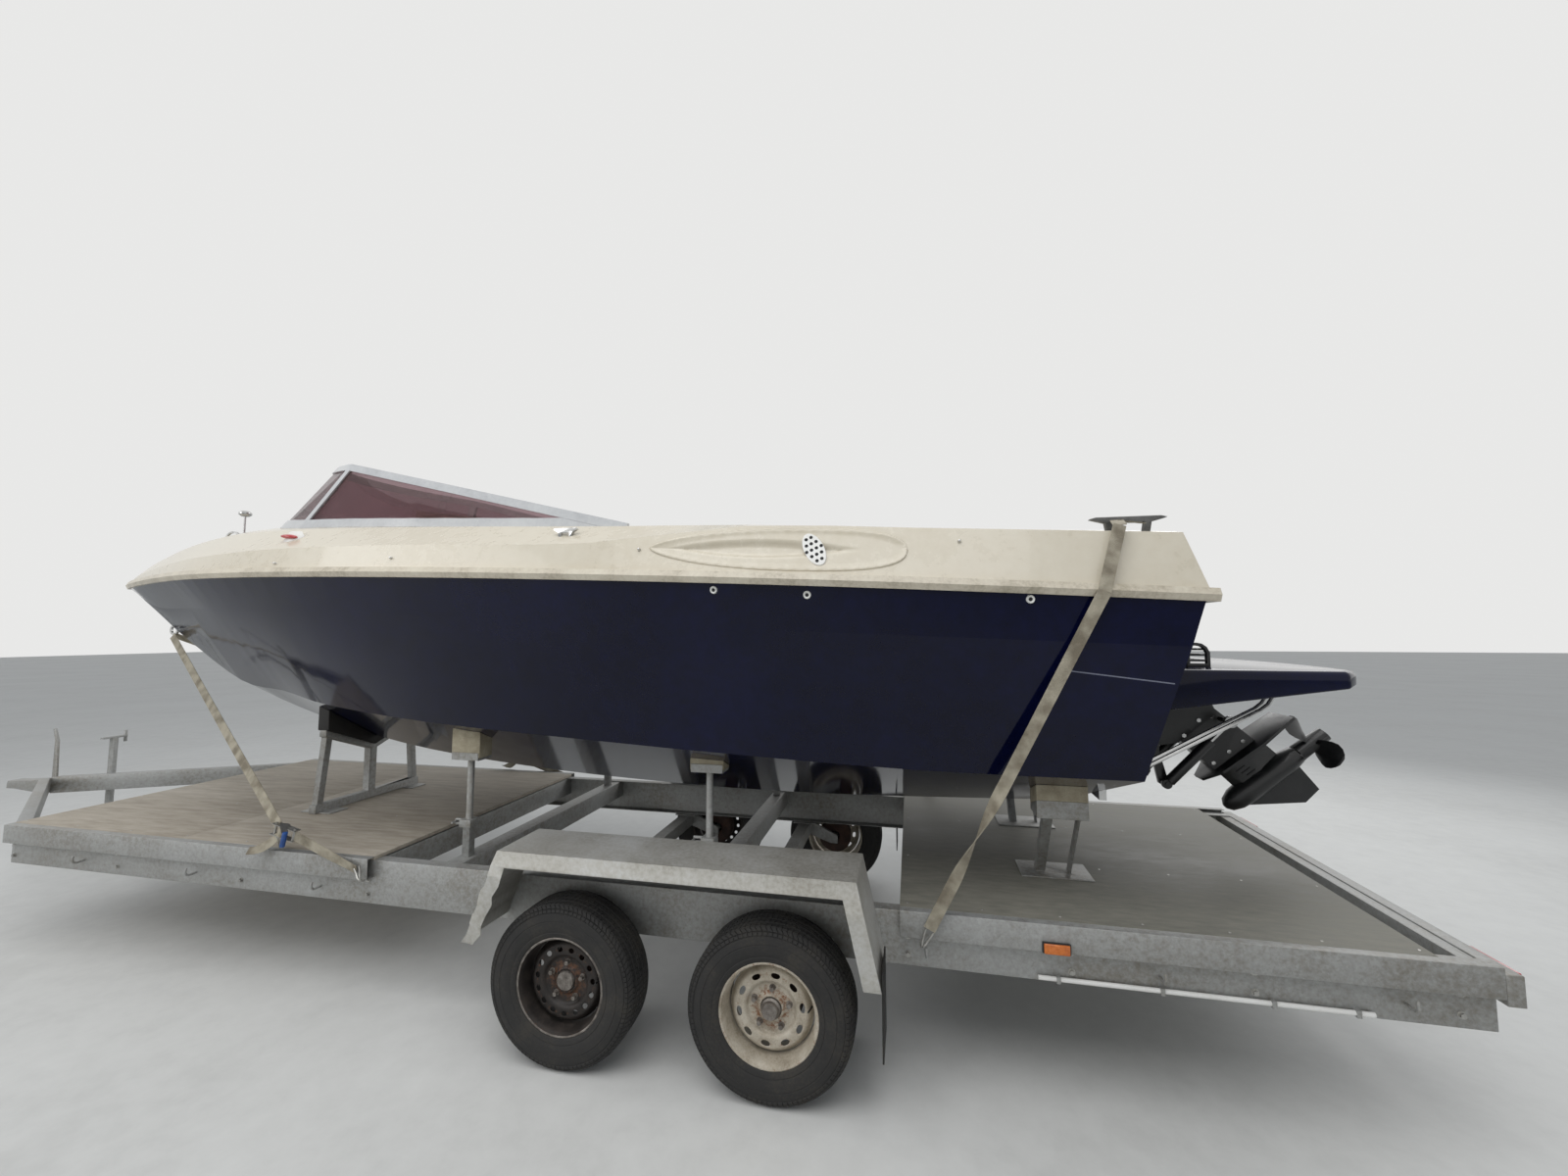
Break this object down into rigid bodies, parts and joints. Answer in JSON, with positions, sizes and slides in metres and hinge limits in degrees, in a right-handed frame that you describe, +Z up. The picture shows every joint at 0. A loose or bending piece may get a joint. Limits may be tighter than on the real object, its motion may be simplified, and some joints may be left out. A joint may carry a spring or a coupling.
{
  "type": "speedboat on trailer",
  "caption": "Sport motorboat with open cockpit, curved windscreen, stern drive and swim platform, strapped to its twin-axle flatbed boat trailer.",
  "frame": {"origin": "on the ground, under the middle of the whole outfit's length and width", "axes": "+X aft (from the trailer coupling towards the swim platform), +Y starboard, +Z up"},
  "size_m": [8.7904, 2.3, 2.8245],
  "materials": {
    "hull_gelcoat": "deep glossy navy moulded shell",
    "deck_gelcoat": "glossy cream moulded shell",
    "white_plastic": "white plastic fittings",
    "seat_shell": "moulded seat base",
    "upholstery": "cream vinyl cushions",
    "black_rubber_grip": "black grip",
    "engine_paint": null,
    "bright_metal": "polished marine steel",
    "screen_frame": "white coated aluminium",
    "screen_glass": "tinted glazing",
    "black_paint": "black painted metal",
    "rod_steel": "bright rod",
    "galvanised": "dull galvanised steel",
    "guard_steel": "sheet steel guard",
    "rim_paint": "old silver paint",
    "tyre_rubber": "tyre rubber",
    "solid_rubber": "black rubber",
    "pad_cream": "cream pad",
    "bed_ply": "weathered plywood",
    "webbing": "cream webbing",
    "lamp_lens": "red and amber lenses"
  },
  "bodies": {
    "outfit": {"hull": "hull_gelcoat", "swim_platform": "hull_gelcoat", "deck": "deck_gelcoat", "scoop_rims": "deck_gelcoat", "cockpit_tub": "deck_gelcoat", "rub_rail": "deck_gelcoat", "scoop_grilles": "white_plastic", "dashboard": "white_plastic", "side_lamps": "white_plastic", "seat_bases": "seat_shell", "seat_cushions": "upholstery", "engine_block": "engine_paint", "hatch_hinges": "bright_metal", "cleats": "bright_metal", "bow_fittings": "bright_metal", "platform_stays": "bright_metal", "windscreen_frame": "screen_frame", "windscreen_glass": "screen_glass", "transom_shield": "black_paint", "boarding_ladder": "black_paint", "rail_port": "galvanised", "rail_starboard": "galvanised", "crossmembers": "galvanised", "drawbar_port": "galvanised", "drawbar_starboard": "galvanised", "coupling": "galvanised", "jockey_tube": "galvanised", "axle_tubes": "galvanised", "axle_arms": "galvanised", "support_posts": "galvanised", "front_cradle": "galvanised", "rear_rests": "galvanised", "bed_edges": "galvanised", "ratchets": "galvanised", "mudguards": "guard_steel", "mudflaps": "solid_rubber", "cradle_pad": "solid_rubber", "support_pads": "pad_cream", "front_bed": "bed_ply", "rear_bed": "bed_ply", "straps": "webbing", "trailer_lamps": "lamp_lens"},
    "helm": {"steering_wheel": "black_rubber_grip"},
    "hatch": {"engine_hatch": "deck_gelcoat"},
    "ring": {"gimbal_ring": "black_paint"},
    "leg": {"drive_leg": "black_paint"},
    "barrels": {"trim_barrels": "black_paint"},
    "rods": {"trim_rods": "rod_steel"},
    "screw": {"propeller": "black_paint"},
    "jockey_swivel": {"jockey_fork": "galvanised"},
    "jockey_roller": {"jockey_wheel": "solid_rubber"},
    "wheel_front_port": {"rim_front_port": "rim_paint", "tyre_front_port": "tyre_rubber"},
    "wheel_front_starboard": {"rim_front_starboard": "rim_paint", "tyre_front_starboard": "tyre_rubber"},
    "wheel_rear_port": {"rim_rear_port": "rim_paint", "tyre_rear_port": "tyre_rubber"},
    "wheel_rear_starboard": {"rim_rear_starboard": "rim_paint", "tyre_rear_starboard": "tyre_rubber"}
  },
  "joints": [
    {"name": "spin_front_port", "type": "hinge", "parent": "outfit", "child": "wheel_front_port", "pos_m": [1.015, -1.01, 0.325], "axis": [0, 1, 0], "continuous": true},
    {"name": "spin_front_starboard", "type": "hinge", "parent": "outfit", "child": "wheel_front_starboard", "pos_m": [1.015, 1.01, 0.325], "axis": [0, 1, 0], "continuous": true},
    {"name": "spin_rear_port", "type": "hinge", "parent": "outfit", "child": "wheel_rear_port", "pos_m": [1.885, -1.01, 0.325], "axis": [0, 1, 0], "continuous": true},
    {"name": "spin_rear_starboard", "type": "hinge", "parent": "outfit", "child": "wheel_rear_starboard", "pos_m": [1.885, 1.01, 0.325], "axis": [0, 1, 0], "continuous": true},
    {"name": "jockey_turn", "type": "hinge", "parent": "outfit", "child": "jockey_swivel", "pos_m": [-3.8, 0.23, 0.3], "axis": [0, 0, 1], "continuous": true},
    {"name": "jockey_spin", "type": "hinge", "parent": "jockey_swivel", "child": "jockey_roller", "pos_m": [-3.76, 0.23, 0.11], "axis": [0, 1, 0], "continuous": true},
    {"name": "drive_steer", "type": "hinge", "parent": "outfit", "child": "ring", "pos_m": [3.58, 0, 1.27], "axis": [0, 0, 1], "range_deg": [-25, 25]},
    {"name": "drive_trim", "type": "hinge", "parent": "ring", "child": "leg", "pos_m": [3.58, 0, 1.27], "axis": [0, -1, 0], "range_deg": [-27, 6]},
    {"name": "barrel_swing", "type": "hinge", "parent": "ring", "child": "barrels", "pos_m": [3.612, 0, 1.038], "axis": [0, -1, 0], "range_deg": [-20, 6]},
    {"name": "rod_slide", "type": "slide", "parent": "barrels", "child": "rods", "axis": [0.6855, 0, 0.7281], "range_m": [-0.0969, 0.0239]},
    {"name": "screw_spin", "type": "hinge", "parent": "leg", "child": "screw", "pos_m": [3.89818, 0, 0.89081], "axis": [0.766, 0, 0.6428], "continuous": true},
    {"name": "helm_turn", "type": "hinge", "parent": "outfit", "child": "helm", "pos_m": [0.01, 0.33, 2.075], "axis": [0.8829, 0, 0.4695], "range_deg": [-455, 455]},
    {"name": "hatch_lift", "type": "hinge", "parent": "outfit", "child": "hatch", "pos_m": [2.402, 0, 2.236], "axis": [0, -1, 0], "range_deg": [0, 60]}
  ],
  "couplings": [
    {"joint": "helm_turn", "follows": "drive_steer", "ratio": 18},
    {"joint": "barrel_swing", "follows": "drive_trim", "ratio": 0.66966},
    {"joint": "rod_slide", "follows": "drive_trim", "m_per_rad": 0.19934}
  ]
}
